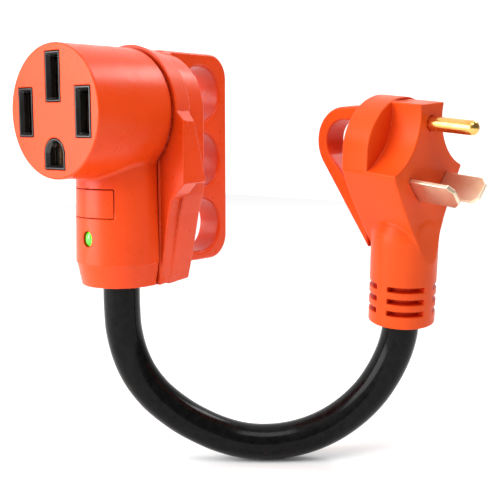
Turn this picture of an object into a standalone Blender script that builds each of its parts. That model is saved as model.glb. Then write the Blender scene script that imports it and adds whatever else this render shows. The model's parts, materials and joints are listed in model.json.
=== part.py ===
"""Dogbone power adapter for caravans: a 50 A four-slot socket connector, a 30 A three-pin plug and
a short three-core cable between them.

The origin is the centre of the plug's pin face. +Z is up, and the socket faces -Y. The cable's loop
stands in a plane turned about Z from that, and the loop frame carries it and both connectors. Each
connector is modelled in its own frame, in which -Y is the front (the way its slots or pins face), X is
across it and Z is up its cable axis. Lengths are in metres.
"""

import math

import bmesh
import bpy
from mathutils import Matrix, Vector

MM = 0.001
GAP = 0.3 * MM  # clearance kept between pieces that touch

# Cable: three 10 AWG cores in a round jacket
CABLE_RADIUS = 8.0 * MM
CABLE_BORE_RADIUS = 6.2 * MM
CORE_RADIUS = 2.3 * MM
CORE_OFFSET = 3.1 * MM
CABLE_HOLE_RADIUS = CABLE_RADIUS + GAP
CABLE_END_IN_SOCKET = 21 * MM
CABLE_END_IN_PLUG = 38 * MM
CABLE_SAMPLE = 7.5 * MM
CORE_SAMPLE = 5 * MM

# The loop frame's turn, the foot of the socket's cable axis in it, and how the plug is turned in it
LOOP_TURN = math.radians(39.3)
SOCKET_FOOT = Vector((-130.3, 17.5, -59.4)) * MM
PLUG_TURN = math.radians(42.1)
PLUG_LEAN = math.radians(7.3)

# The cable's route in the loop frame, from the socket's foot to the plug's
CABLE_ROUTE = [
    Vector(p) * MM
    for p in (
        (-130.2, 17.5, -67.6),
        (-129.6, 17.8, -77.4),
        (-127.1, 18.3, -88.4),
        (-122.6, 18.9, -98.6),
        (-115.5, 19.5, -108.0),
        (-105.6, 20.1, -116.4),
        (-96.4, 20.5, -122.0),
        (-87.1, 20.8, -126.2),
        (-77.6, 21.0, -128.9),
        (-67.6, 21.1, -129.8),
        (-57.2, 21.1, -128.9),
        (-46.8, 21.0, -126.1),
        (-36.9, 20.9, -121.4),
        (-27.9, 20.7, -114.8),
        (-20.3, 20.5, -106.9),
        (-14.7, 20.1, -98.3),
        (-10.7, 19.4, -89.6),
        (-8.3, 18.6, -81.2),
    )
]

# Socket connector: a round head on a neck, closed behind by a flanged cover with a grip handle
WALL = 3 * MM
HEAD_CENTRE_Z = 77 * MM
HEAD_FRONT_Y = -34.7 * MM
HEAD_FRONT_RADIUS = 27.1 * MM
HEAD_REAR_RADIUS = 27.4 * MM
SHELL_REAR_Y = 4.7 * MM
FACE_THICKNESS = 4 * MM
HEAD_BORE_RADIUS = 24.4 * MM
NECK_BOTTOM_Z = 3.4 * MM
NECK_TAPER_Z = 13.5 * MM
NECK_RADIUS = 18.9 * MM
NECK_BOTTOM_RADIUS = 17.3 * MM
PANEL_LOW_Z = 33.1 * MM
PANEL_HIGH_Z = 45.3 * MM
PANEL_HALF_ANGLE = math.radians(40)
PANEL_DEPTH = 1.2 * MM
INDICATOR_Z = 24.3 * MM
LENS_ROOT_Y = -14.6 * MM

# Slots: X and Z of the centre, width, height
SLOTS = {
    "neutral": (0.0, 90.8 * MM, 9.2 * MM, 20 * MM),
    "hot_x": (-17.7 * MM, 76.8 * MM, 9.2 * MM, 20 * MM),
    "hot_y": (17.7 * MM, 76.8 * MM, 9.2 * MM, 20 * MM),
}
GROUND_SLOT_Z = 60.2 * MM
GROUND_SLOT_WIDTH = 12.6 * MM
GROUND_SLOT_HEIGHT = 12.6 * MM

FLANGE_FRONT_Y = 5.8 * MM
FLANGE_STEP_Y = 15.8 * MM
FLANGE_REAR_Y = 25.7 * MM
FLANGE_RADIUS = 28.9 * MM
FLANGE_LUG_X = 32.7 * MM
FLANGE_BOTTOM_Z = 3.1 * MM
REAR_LAYER_RADIUS = 27.1 * MM

HANDLE_THICKNESS = 13 * MM
HANDLE_REAR_Y = 63.2 * MM
HANDLE_BOTTOM_Z = 9 * MM
HANDLE_TOP_Z = 104.2 * MM
HANDLE_CORNER = 11 * MM
FINGER_HOLE_RADIUS = 12.6 * MM
FINGER_HOLE_Y = 45.2 * MM
FINGER_HOLE_PITCH = 30.3 * MM
FINGER_HOLE_MIDDLE_Z = 55.8 * MM

# Inside the socket connector
CARRIER_RADIUS = 24.1 * MM
CARRIER_FRONT_Y = -30.2 * MM
CARRIER_REAR_Y = -9 * MM
POCKET_CLEARANCE = 0.4 * MM
CONTACT_FRONT_Y = -29.2 * MM
CONTACT_REAR_Y = -12.8 * MM
CONTACT_WALL = 1.2 * MM
TAIL_REAR_Y = -8 * MM
TAIL_SIZE = 4 * MM
STRAP_THICKNESS = 1.5 * MM
SLEEVE_RADIUS = 3.6 * MM
SLEEVE_LENGTH = 6 * MM
SCREW_SHANK_RADIUS = 1.5 * MM
SCREW_HOLE_RADIUS = SCREW_SHANK_RADIUS + GAP
SCREW_HEAD_RADIUS = 2.4 * MM
SCREW_HEAD_HEIGHT = 2.2 * MM
COVER_SCREW_PLACES = [
    (side * x, z) for x, z in ((15.6 * MM, 92.6 * MM), (13.2 * MM, 36 * MM)) for side in (-1, 1)
]
COVER_SCREW_TIP_Y = -2 * MM
BOSS_RADIUS = 3.4 * MM
COVER_BOSS_RADIUS = 4 * MM
LIP_RADIUS = 26.2 * MM
LIP_HALF_WIDTH = 18.6 * MM
CLAMP_Z = 15 * MM
CLAMP_HEIGHT = 6 * MM
CLAMP_SCREW_X = 12.4 * MM

# Plug: heights run up from the foot of its collar
PLUG_FACE_Y = -11 * MM
PLUG_ORIGIN_Z = 74 * MM
COLLAR_RADIUS = 14.4 * MM
STRAP_FRONT_Y = 3.8 * MM
STRAP_REAR_Y = 17.5 * MM
ARCH_RADIUS = 22.3 * MM
ARCH_CENTRE_Z = 74.5 * MM
SHOULDER_Z = 67 * MM
WEDGE_TIP_X = 2.8 * MM
WEDGE_TIP_Z = 28.5 * MM
TAB_HALF_WIDTH = 7.3 * MM
TAB_TOP_Z = 95.2 * MM
SCALLOP_RADIUS = 24 * MM
SCALLOP_CENTRE_X = TAB_HALF_WIDTH + SCALLOP_RADIUS
SCALLOP_CENTRE_Z = 90 * MM
PLUG_WALL = 3 * MM
PIN_ROOT_Y = -1 * MM
GROUND_PIN_RADIUS = 3 * MM
GROUND_PIN_Z = 87.1 * MM
GROUND_PIN_TIP_Y = -33.2 * MM
BLADE_X = 8.8 * MM
BLADE_Z = 60.6 * MM
BLADE_WIDTH = 11.8 * MM
BLADE_THICKNESS = 1.8 * MM
BLADE_TIP_Y = -31.6 * MM
BLADE_LEAN = math.radians(39)
BLADE_CHAMFER = 2.6 * MM
COVER_LOW_Z = 44 * MM
RING_THICKNESS = 12 * MM
RING_CENTRE_Y = 31.6 * MM
RING_CENTRE_Z = 75 * MM
RING_RADIUS = 15.8 * MM
RING_WALL = 5.7 * MM
GROOVE_ROWS_Z = [17.2 * MM, 11.9 * MM, 6.6 * MM]
GROOVE_HEIGHT = 2.4 * MM
GROOVE_DEPTH = 4.4 * MM
GROOVE_HALF_ANGLE = math.radians(34)
PLUG_SCREW_X = 13.4 * MM
PLUG_SCREW_Z = 84 * MM

COLOURS = {
    "orange": ((0.90, 0.11, 0.014, 1), 0.38, 0.0),
    "orange_plug": ((0.80, 0.115, 0.022, 1), 0.42, 0.0),
    "black_jacket": ((0.008, 0.008, 0.009, 1), 0.35, 0.0),
    "black_core": ((0.01, 0.01, 0.01, 1), 0.5, 0.0),
    "white_core": ((0.8, 0.8, 0.78, 1), 0.5, 0.0),
    "green_core": ((0.02, 0.3, 0.05, 1), 0.5, 0.0),
    "dark_moulding": ((0.02, 0.02, 0.02, 1), 0.55, 0.0),
    "brass": ((0.78, 0.5, 0.16, 1), 0.22, 1.0),
    "nickel": ((0.62, 0.56, 0.48, 1), 0.25, 1.0),
    "steel": ((0.5, 0.5, 0.5, 1), 0.35, 1.0),
    "green_lens": ((0.1, 0.8, 0.08, 1), 0.15, 0.0),
    "board_green": ((0.02, 0.16, 0.06, 1), 0.5, 0.0),
    "resistor_body": ((0.6, 0.45, 0.28, 1), 0.5, 0.0),
}


def clear_scene():
    for obj in list(bpy.data.objects):
        bpy.data.objects.remove(obj, do_unlink=True)


def new_collection(name):
    collection = bpy.data.collections.new(name)
    bpy.context.scene.collection.children.link(collection)
    return collection


def paint(obj, colour):
    """Give obj a material of its own, with the named colour and finish."""
    base, roughness, metallic = COLOURS[colour]
    material = bpy.data.materials.new(obj.name + "_material")
    material.use_nodes = True
    shader = material.node_tree.nodes["Principled BSDF"]
    shader.inputs["Base Color"].default_value = base
    shader.inputs["Roughness"].default_value = roughness
    shader.inputs["Metallic"].default_value = metallic
    obj.data.materials.clear()
    obj.data.materials.append(material)


def frame_empty(name, parent, location, turn, lean=0.0):
    """An empty that carries parts: turned about Z, then leant about its parent's X."""
    empty = bpy.data.objects.new(name, None)
    PARTS.objects.link(empty)
    empty.parent = parent
    empty.rotation_mode = "ZYX"
    empty.location = location
    empty.rotation_euler = (lean, 0, turn)
    return empty


def take(obj, name, parent, colour=None):
    """Name obj, parent it, and file it as a part, or as a cutter where no colour is given."""
    for collection in list(obj.users_collection):
        collection.objects.unlink(obj)
    obj.name = name
    obj.data.name = name
    obj.parent = parent
    if colour is None:
        CUTTERS.objects.link(obj)
        obj.hide_render = True
        obj.display_type = "WIRE"
    else:
        PARTS.objects.link(obj)
        paint(obj, colour)
    return obj


def box(name, parent, low, high, colour=None):
    """A box between two corners."""
    bpy.ops.mesh.primitive_cube_add(size=1)
    obj = bpy.context.object
    size = [b - a for a, b in zip(low, high)]
    centre = [(a + b) / 2 for a, b in zip(low, high)]
    obj.data.transform(Matrix.Translation(centre) @ Matrix.Diagonal((*size, 1)))
    return take(obj, name, parent, colour)


def rod(name, parent, start, length, radius, axis, colour=None, sides=24, end_radius=None):
    """A cylinder or cone from start along +axis. end_radius is its radius at the far end."""
    far = radius if end_radius is None else end_radius
    bpy.ops.mesh.primitive_cone_add(vertices=sides, radius1=radius, radius2=far, depth=length)
    obj = bpy.context.object
    obj.data.transform(Matrix.Translation((0, 0, length / 2)))
    if axis == "y":
        obj.data.transform(Matrix.Rotation(math.radians(-90), 4, "X"))
    elif axis == "x":
        obj.data.transform(Matrix.Rotation(math.radians(90), 4, "Y"))
    obj.data.transform(Matrix.Translation(start))
    obj.data.shade_smooth()
    obj.data.set_sharp_from_angle(angle=math.radians(35))
    return take(obj, name, parent, colour)


def mesh_from_curve(curve_obj, name, parent, colour):
    """Turn a curve object into a closed mesh with its caps welded."""
    bpy.context.scene.collection.objects.link(curve_obj)
    bpy.context.view_layer.update()
    evaluated = curve_obj.evaluated_get(bpy.context.evaluated_depsgraph_get())
    mesh = bpy.data.meshes.new_from_object(evaluated)
    shape = bmesh.new()
    shape.from_mesh(mesh)
    bmesh.ops.remove_doubles(shape, verts=shape.verts, dist=0.001 * MM)
    bmesh.ops.recalc_face_normals(shape, faces=shape.faces)
    shape.to_mesh(mesh)
    shape.free()
    obj = bpy.data.objects.new(name, mesh)
    bpy.context.scene.collection.objects.link(obj)
    bpy.data.objects.remove(curve_obj, do_unlink=True)
    return take(obj, name, parent, colour)


def plate(name, parent, outline, near, far, plane, colour=None):
    """A flat outline given thickness from near to far.

    plane "front" reads the outline as (X, Z) and runs along Y, "side" reads it as (Y, Z) and runs
    along X, and "plan" reads it as (X, Y) and runs along Z.
    """
    curve = bpy.data.curves.new(name, "CURVE")
    curve.dimensions = "2D"
    curve.fill_mode = "BOTH"
    curve.extrude = (far - near) / 2
    spline = curve.splines.new("POLY")
    spline.points.add(len(outline) - 1)
    for point, (a, b) in zip(spline.points, outline):
        point.co = (a, b, 0, 1)
    spline.use_cyclic_u = True
    obj = mesh_from_curve(bpy.data.objects.new(name, curve), name, parent, colour)
    middle = (near + far) / 2
    if plane == "front":
        turn = Matrix(((1, 0, 0, 0), (0, 0, -1, middle), (0, 1, 0, 0), (0, 0, 0, 1)))
    elif plane == "side":
        turn = Matrix(((0, 0, 1, middle), (1, 0, 0, 0), (0, 1, 0, 0), (0, 0, 0, 1)))
    else:
        turn = Matrix.Translation((0, 0, middle))
    obj.data.transform(turn)
    return obj


def change(obj, tool, operation):
    """Cut obj with tool, join tool to it, or keep what they share."""
    modifier = obj.modifiers.new(operation.lower() + "_" + tool.name, "BOOLEAN")
    modifier.operation = operation
    modifier.object = tool
    modifier.solver = "EXACT"
    return obj


def cut(obj, tool):
    return change(obj, tool, "DIFFERENCE")


def join(obj, tool):
    return change(obj, tool, "UNION")


def arc(cx, cy, radius, start, end, count):
    """Points along an arc from start to end, in degrees, both ends included."""
    angles = [math.radians(start + (end - start) * i / (count - 1)) for i in range(count)]
    return [(cx + radius * math.cos(a), cy + radius * math.sin(a)) for a in angles]


def mirrored(half):
    """A closed outline from its right half, which runs from the bottom to the top."""
    return half + [(-x, z) for x, z in reversed(half) if abs(x) > 0.001 * MM]


def rounded_at_rear(y0, y1, z0, z1, radius):
    """An upright rectangle as (Y, Z), with its two rear corners rounded."""
    points = [(y0, z0)] + arc(y1 - radius, z0 + radius, radius, -90, 0, 7)
    return points + arc(y1 - radius, z1 - radius, radius, 0, 90, 7) + [(y0, z1)]


def neck_outline(radius, rear_y, count=16):
    """The neck's section: round in front, with flat sides running back to rear_y."""
    return arc(0, 0, radius, 180, 360, count) + [(radius, rear_y), (-radius, rear_y)]


def loft(name, parent, rings, colour=None):
    """A closed solid through rings of points of equal number, each listed anticlockwise from above."""
    shape = bmesh.new()
    layers = [[shape.verts.new(p) for p in ring] for ring in rings]
    count = len(rings[0])
    for low, high in zip(layers, layers[1:]):
        for i in range(count):
            j = (i + 1) % count
            shape.faces.new((low[i], low[j], high[j], high[i]))
    shape.faces.new(list(reversed(layers[0])))
    shape.faces.new(layers[-1])
    mesh = bpy.data.meshes.new(name)
    shape.to_mesh(mesh)
    shape.free()
    obj = bpy.data.objects.new(name, mesh)
    bpy.context.scene.collection.objects.link(obj)
    return take(obj, name, parent, colour)


def neck_solid(name, parent, inset, bottom_z, rear_y, top_z):
    """The neck's body, drawn in by inset: straight, then tapering to its bottom."""
    levels = (
        (bottom_z, NECK_BOTTOM_RADIUS - inset),
        (NECK_TAPER_Z, NECK_RADIUS - inset),
        (top_z, NECK_RADIUS - inset),
    )
    rings = [[(x, y, z) for x, y in neck_outline(radius, rear_y)] for z, radius in levels]
    return loft(name, parent, rings)


def ground_slot_outline(width, height, z_centre):
    """An arch with a flat foot."""
    half = width / 2
    foot = z_centre - height / 2
    return [(half, foot)] + arc(0, foot + height - half, half, 0, 180, 10) + [(-half, foot)]


def flange_half():
    """The right half of the flange's front layer, with its lug, from the bottom to the top."""
    lower = [
        (18.2 * MM, FLANGE_BOTTOM_Z),
        (25.6 * MM, 40.6 * MM),
        (FLANGE_LUG_X, 47.2 * MM),
        (FLANGE_LUG_X, 73.4 * MM),
        (FLANGE_RADIUS, HEAD_CENTRE_Z + 0.8 * MM),
    ]
    return lower + arc(0, HEAD_CENTRE_Z, FLANGE_RADIUS, 6, 90, 13)


def rear_layer_half():
    """The right half of the flange's rear layer, which has no lug."""
    lower = [
        (16.6 * MM, FLANGE_BOTTOM_Z + 0.4 * MM),
        (23.4 * MM, 38 * MM),
        (REAR_LAYER_RADIUS, 47.6 * MM),
    ]
    return lower + arc(0, HEAD_CENTRE_Z, REAR_LAYER_RADIUS, 0, 90, 14)


def cover_pocket_half():
    """The right half of the pocket inside the rear cover."""
    lower = [(13.2 * MM, 6.5 * MM), (15.4 * MM, 17 * MM), (15.6 * MM, 58 * MM)]
    return lower + arc(0, HEAD_CENTRE_Z, 23.2 * MM, -47, 90, 14)


def lip_half():
    """The right half of the lip that stands in front of the flange, narrower than the shell it meets."""
    low_angle = -math.degrees(math.acos(LIP_HALF_WIDTH / LIP_RADIUS))
    lower = [(16 * MM, FLANGE_BOTTOM_Z + 1.2 * MM), (LIP_HALF_WIDTH, 16 * MM)]
    return lower + arc(0, HEAD_CENTRE_Z, LIP_RADIUS, low_angle, 90, 14)


def screw(name, parent, x, z, head_y, tip_y):
    """A pan-head screw lying along Y: its head's outer face is at head_y."""
    out = 1 if head_y > tip_y else -1
    half_slot = 0.4 * MM
    head_root = head_y - out * SCREW_HEAD_HEIGHT
    profile = [
        (0, abs(head_y - tip_y)),
        (SCREW_HEAD_RADIUS, abs(head_y - tip_y)),
        (SCREW_HEAD_RADIUS, abs(head_root - tip_y)),
        (SCREW_SHANK_RADIUS, abs(head_root - tip_y)),
        (SCREW_SHANK_RADIUS, 1.2 * MM),
        (0, 0),
    ]
    obj = turned(name, parent, profile, "steel", sides=12)
    turn = Matrix.Rotation(math.radians(-90 if out > 0 else 90), 4, "X")
    obj.matrix_local = Matrix.Translation((x, tip_y, z)) @ turn
    slot = box(
        name + "_slot",
        obj,
        (-SCREW_HEAD_RADIUS * 2, -half_slot, abs(head_y - tip_y) - 0.9 * MM),
        (SCREW_HEAD_RADIUS * 2, half_slot, abs(head_y - tip_y) + 1 * MM),
    )
    return cut(obj, slot)


def turned(name, parent, profile, colour, sides=24):
    """A turned solid about local Z. The profile is (radius, height), from the top to the bottom."""
    mesh = bpy.data.meshes.new(name)
    verts = [(r, 0, z) for r, z in profile]
    mesh.from_pydata(verts, [(i, i + 1) for i in range(len(verts) - 1)], [])
    obj = bpy.data.objects.new(name, mesh)
    bpy.context.scene.collection.objects.link(obj)
    spin = obj.modifiers.new("turn", "SCREW")
    spin.angle = math.radians(360)
    spin.steps = sides
    spin.render_steps = sides
    spin.use_merge_vertices = True
    spin.merge_threshold = 0.01 * MM
    return take(obj, name, parent, colour)


def line_curve(name, points, radius, resolution):
    """A round tube along points, as a curve object with capped ends."""
    curve = bpy.data.curves.new(name, "CURVE")
    curve.dimensions = "3D"
    curve.bevel_depth = radius
    curve.bevel_resolution = resolution
    curve.use_fill_caps = True
    spline = curve.splines.new("POLY")
    spline.points.add(len(points) - 1)
    for point, co in zip(spline.points, points):
        point.co = (*co, 1)
    return bpy.data.objects.new(name, curve)


def tube(name, parent, points, radius, colour):
    """A tube that stays a curve."""
    return take(line_curve(name, points, radius, 2), name, parent, colour)


def tube_mesh(name, parent, points, radius, colour):
    """A tube made a mesh, so that it can be cut or can cut."""
    return mesh_from_curve(line_curve(name + "_line", points, radius, 3), name, parent, colour)


def smooth_line(points, step):
    """Points a step apart on the smooth curve that passes through the given ones."""
    ends = [2 * points[0] - points[1]] + list(points) + [2 * points[-1] - points[-2]]
    fine = []
    for i in range(1, len(ends) - 2):
        a, b, c, d = ends[i - 1 : i + 3]
        for j in range(12):
            t = j / 12
            fine.append(
                0.5
                * (
                    2 * b
                    + (c - a) * t
                    + (2 * a - 5 * b + 4 * c - d) * t**2
                    + (3 * b - a - 3 * c + d) * t**3
                )
            )
    fine.append(ends[-2])
    length = sum((q - p).length for p, q in zip(fine, fine[1:]))
    count = round(length / step)
    line = [fine[0]]
    run = 0.0
    for p, q in zip(fine, fine[1:]):
        run += (q - p).length
        if run >= len(line) * length / count and len(line) < count:
            line.append(q)
    line.append(fine[-1])
    return line


# ---------------------------------------------------------------- socket connector


def build_front_housing(parent):
    """The head and the neck: one shell, open behind."""
    depth = SHELL_REAR_Y - HEAD_FRONT_Y
    start = (0, HEAD_FRONT_Y, HEAD_CENTRE_Z)
    housing = rod(
        "socket_front_housing", parent, start, depth, HEAD_FRONT_RADIUS, "y", "orange", 48,
        HEAD_REAR_RADIUS,
    )
    neck = neck_solid("neck_form", parent, 0, NECK_BOTTOM_Z, SHELL_REAR_Y, HEAD_CENTRE_Z)
    join(housing, neck)
    bore_start = (0, HEAD_FRONT_Y + FACE_THICKNESS, HEAD_CENTRE_Z)
    bore = rod("head_bore", parent, bore_start, depth, HEAD_BORE_RADIUS, "y", sides=40)
    cut(housing, bore)
    hollow = neck_solid(
        "neck_hollow", parent, WALL, NECK_BOTTOM_Z + WALL, SHELL_REAR_Y + 5 * MM, HEAD_CENTRE_Z
    )
    cut(housing, hollow)
    for name, (x, z, width, height) in SLOTS.items():
        low = (x - width / 2, HEAD_FRONT_Y - 2 * MM, z - height / 2)
        high = (x + width / 2, HEAD_FRONT_Y + FACE_THICKNESS + 1 * MM, z + height / 2)
        cut(housing, box(name + "_slot", parent, low, high))
    outline = ground_slot_outline(GROUND_SLOT_WIDTH, GROUND_SLOT_HEIGHT, GROUND_SLOT_Z)
    near = HEAD_FRONT_Y - 2 * MM
    cut(housing, plate("ground_slot", parent, outline, near, near + 7 * MM, "front"))
    for i, (x, z) in enumerate(COVER_SCREW_PLACES):
        boss_y = -8.5 * MM if z > HEAD_CENTRE_Z else -10.5 * MM
        boss_length = SHELL_REAR_Y - 0.4 * MM - boss_y
        boss = rod(f"front_boss_{i}", parent, (x, boss_y, z), boss_length, BOSS_RADIUS, "y", sides=14)
        join(housing, boss)
        hole_start = (x, COVER_SCREW_TIP_Y - 1 * MM, z)
        hole = rod(f"front_boss_hole_{i}", parent, hole_start, 12 * MM, SCREW_HOLE_RADIUS, "y", sides=12)
        cut(housing, hole)
    for side in (-1, 1):
        boss_start = (side * CLAMP_SCREW_X, -9.4 * MM, CLAMP_Z)
        boss = rod(f"clamp_boss_{side}", parent, boss_start, 8.9 * MM, BOSS_RADIUS, "y", sides=14)
        join(housing, boss)
        hole_start = (side * CLAMP_SCREW_X, -8 * MM, CLAMP_Z)
        cut(housing, rod(f"clamp_hole_{side}", parent, hole_start, 12 * MM, SCREW_HOLE_RADIUS, "y", sides=12))
    exit_start = (0, 0, NECK_BOTTOM_Z - 2 * MM)
    cut(housing, rod("cable_exit", parent, exit_start, 30 * MM, CABLE_HOLE_RADIUS, "z", sides=24))
    cut(housing, panel_piece("panel_recess", parent, 0.0, None))
    lens_start = (0, -(NECK_RADIUS + 1 * MM), INDICATOR_Z)
    cut(housing, rod("indicator_hole", parent, lens_start, 6 * MM, 3.1 * MM, "y", sides=16))
    return housing


def panel_piece(name, parent, gap, colour):
    """The curved panel on the neck, drawn in by gap; the same form with no gap is its recess."""
    half = PANEL_HALF_ANGLE - gap / NECK_RADIUS
    outer = NECK_RADIUS + (0.0 if colour else 1 * MM)
    inner = NECK_RADIUS - PANEL_DEPTH + gap
    start = -90 - math.degrees(half)
    end = -90 + math.degrees(half)
    outline = arc(0, 0, outer, start, end, 11) + arc(0, 0, inner, end, start, 11)
    return plate(name, parent, outline, PANEL_LOW_Z + gap, PANEL_HIGH_Z - gap, "plan", colour)


def build_rear_cover(parent):
    """The flange, its side lugs and the grip handle with three finger holes: one moulding."""
    cover = plate(
        "socket_rear_cover", parent, mirrored(flange_half()), FLANGE_FRONT_Y, FLANGE_STEP_Y, "front", "orange"
    )
    rear = plate(
        "flange_rear_layer", parent, mirrored(rear_layer_half()),
        FLANGE_STEP_Y - 1 * MM, FLANGE_REAR_Y, "front",
    )
    join(cover, rear)
    lip = plate(
        "flange_lip", parent, mirrored(lip_half()), SHELL_REAR_Y + GAP, FLANGE_FRONT_Y + 1 * MM, "front"
    )
    join(cover, lip)
    grip = rounded_at_rear(
        FLANGE_REAR_Y - 1 * MM, HANDLE_REAR_Y, HANDLE_BOTTOM_Z, HANDLE_TOP_Z, HANDLE_CORNER
    )
    half = HANDLE_THICKNESS / 2
    join(cover, plate("grip_form", parent, grip, -half, half, "side"))
    pocket = plate(
        "cover_pocket", parent, mirrored(cover_pocket_half()), 0, FLANGE_REAR_Y - WALL, "front"
    )
    cut(cover, pocket)
    for i in (-1, 0, 1):
        start = (-2 * half, FINGER_HOLE_Y, FINGER_HOLE_MIDDLE_Z + i * FINGER_HOLE_PITCH)
        hole = rod(f"finger_hole_{i + 2}", parent, start, 4 * half, FINGER_HOLE_RADIUS, "x", sides=36)
        cut(cover, hole)
    for i, (x, z) in enumerate(COVER_SCREW_PLACES):
        boss_start = (x, SHELL_REAR_Y + 2 * GAP, z)
        boss_length = FLANGE_REAR_Y - 1 * MM - boss_start[1]
        boss = rod(f"cover_boss_{i}", parent, boss_start, boss_length, COVER_BOSS_RADIUS, "y", sides=16)
        join(cover, boss)
    seat_y = FLANGE_REAR_Y - 3.2 * MM
    for i, (x, z) in enumerate(COVER_SCREW_PLACES):
        cut(cover, rod(f"cover_hole_{i}", parent, (x, 0, z), 40 * MM, SCREW_HOLE_RADIUS, "y", sides=12))
        sink_radius = SCREW_HEAD_RADIUS + GAP
        cut(cover, rod(f"cover_sink_{i}", parent, (x, seat_y, z), 10 * MM, sink_radius, "y", sides=16))
        screw(f"cover_screw_{i + 1}", parent, x, z, seat_y + GAP + SCREW_HEAD_HEIGHT, COVER_SCREW_TIP_Y)
    exit_start = (0, 0, NECK_BOTTOM_Z - 2 * MM)
    cut(cover, rod("cover_cable_exit", parent, exit_start, 10 * MM, CABLE_HOLE_RADIUS, "z", sides=24))
    return cover


def build_contacts(parent):
    """The insulating carrier in the head, and the four spring contacts in its pockets."""
    start = (0, CARRIER_FRONT_Y, HEAD_CENTRE_Z)
    depth = CARRIER_REAR_Y - CARRIER_FRONT_Y
    carrier = rod("contact_carrier", parent, start, depth, CARRIER_RADIUS, "y", "dark_moulding", 32)
    sizes = {name: (x, z, 7.8 * MM, 15 * MM, 3 * MM) for name, (x, z, _, _) in SLOTS.items()}
    sizes["ground"] = (0.0, GROUND_SLOT_Z, 10 * MM, 10 * MM, 6 * MM)
    for name, (x, z, width, height, opening) in sizes.items():
        low = (x - width / 2, CONTACT_FRONT_Y, z - height / 2)
        high = (x + width / 2, CONTACT_REAR_Y, z + height / 2)
        contact = box(name + "_contact", parent, low, high, "nickel")
        mouth_low = (x - opening / 2, CONTACT_FRONT_Y - 1 * MM, z - height)
        mouth_high = (x + opening / 2, CONTACT_REAR_Y - CONTACT_WALL, z + height)
        cut(contact, box(name + "_mouth", parent, mouth_low, mouth_high))
        tail_low = (x - TAIL_SIZE / 2, CONTACT_REAR_Y - 0.5 * MM, z - TAIL_SIZE / 2)
        tail_high = (x + TAIL_SIZE / 2, TAIL_REAR_Y, z + TAIL_SIZE / 2)
        join(contact, box(name + "_tail", parent, tail_low, tail_high))
        grow = POCKET_CLEARANCE
        pocket_low = (low[0] - grow, CARRIER_FRONT_Y - 1 * MM, low[2] - grow)
        pocket_high = (high[0] + grow, CARRIER_REAR_Y + 1 * MM, high[2] + grow)
        cut(carrier, box(name + "_pocket", parent, pocket_low, pocket_high))
    return sizes


def build_bridge(parent, sizes):
    """The strap that joins both hot contacts to the one hot core of a 30 A supply."""
    left, right = sizes["hot_x"], sizes["hot_y"]
    low = (left[0] - 3 * MM, TAIL_REAR_Y + GAP, left[1] - 3 * MM)
    high = (right[0] + 3 * MM, TAIL_REAR_Y + GAP + STRAP_THICKNESS, right[1] + 3 * MM)
    return box("hot_bridge_strap", parent, low, high, "nickel")


def build_indicator(parent):
    """The green power light on the neck: lens, diode, board and resistor."""
    lens = turned(
        "indicator_lens", parent,
        [(0, 3.6 * MM), (1.5 * MM, 3.4 * MM), (2.4 * MM, 2.6 * MM), (2.8 * MM, 1.6 * MM),
         (2.8 * MM, 0), (0, 0)],
        "green_lens", sides=20,
    )
    turn = Matrix.Rotation(math.radians(90), 4, "X")
    lens.matrix_local = Matrix.Translation((0, LENS_ROOT_Y, INDICATOR_Z)) @ turn
    diode_start = (0, LENS_ROOT_Y + GAP, INDICATOR_Z)
    rod("indicator_diode", parent, diode_start, 2.4 * MM, 2.2 * MM, "y", "green_lens", 16)
    box(
        "indicator_board", parent,
        (-6 * MM, -11.5 * MM, INDICATOR_Z - 3.4 * MM), (6 * MM, -10.2 * MM, INDICATOR_Z + 9 * MM),
        "board_green",
    )
    start = (-2.6 * MM, -12.9 * MM, INDICATOR_Z + 6.4 * MM)
    rod("indicator_resistor", parent, start, 5.2 * MM, 1 * MM, "x", "resistor_body", 12)


def build_clamp(name, parent, z, y_face, screw_x, tip_y):
    """A cord clamp bar behind the cable, with a half-round seat, and its two screws."""
    ear = screw_x + 2.9 * MM
    seat = CABLE_HOLE_RADIUS
    bend = seat + 1.9 * MM
    near = y_face + GAP
    ear_top = near + 2.6 * MM
    clip = math.degrees(math.asin(min(1, ear_top / bend)))
    clip_in = math.degrees(math.asin(near / seat))
    outline = [(ear, near), (ear, ear_top)]
    outline += arc(0, 0, bend, clip, 180 - clip, 13)
    outline += [(-ear, ear_top), (-ear, near)]
    outline += arc(0, 0, seat, 180 - clip_in, clip_in, 13)
    bar = plate(name, parent, outline, z - CLAMP_HEIGHT / 2, z + CLAMP_HEIGHT / 2, "plan", "dark_moulding")
    for i, side in enumerate((-1, 1)):
        hole = rod(
            f"{name}_hole_{i}", parent, (side * screw_x, near - 2 * MM, z), 8 * MM,
            SCREW_HOLE_RADIUS, "y", sides=12,
        )
        cut(bar, hole)
        head_y = ear_top + GAP + SCREW_HEAD_HEIGHT
        screw(f"{name}_screw_{i + 1}", parent, side * screw_x, z, head_y, tip_y)
    return bar


def sleeve(name, parent, x, y, z):
    """A crimp sleeve that lies along Y round the end of a core, starting at y."""
    obj = rod(name, parent, (x, y, z), SLEEVE_LENGTH, SLEEVE_RADIUS, "y", "nickel", 14)
    bore_start = (x, y - 1 * MM, z)
    bore_radius = CORE_RADIUS + 2 * GAP
    return cut(
        obj, rod(name + "_bore", parent, bore_start, SLEEVE_LENGTH + 2 * MM, bore_radius, "y", sides=14),
    )


# ---------------------------------------------------------------- plug


def wedge_x(z):
    """Half the plug body's width at a height below its shoulders."""
    share = (z - WEDGE_TIP_Z) / (SHOULDER_Z - WEDGE_TIP_Z)
    return WEDGE_TIP_X + share * (ARCH_RADIUS - WEDGE_TIP_X)


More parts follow.
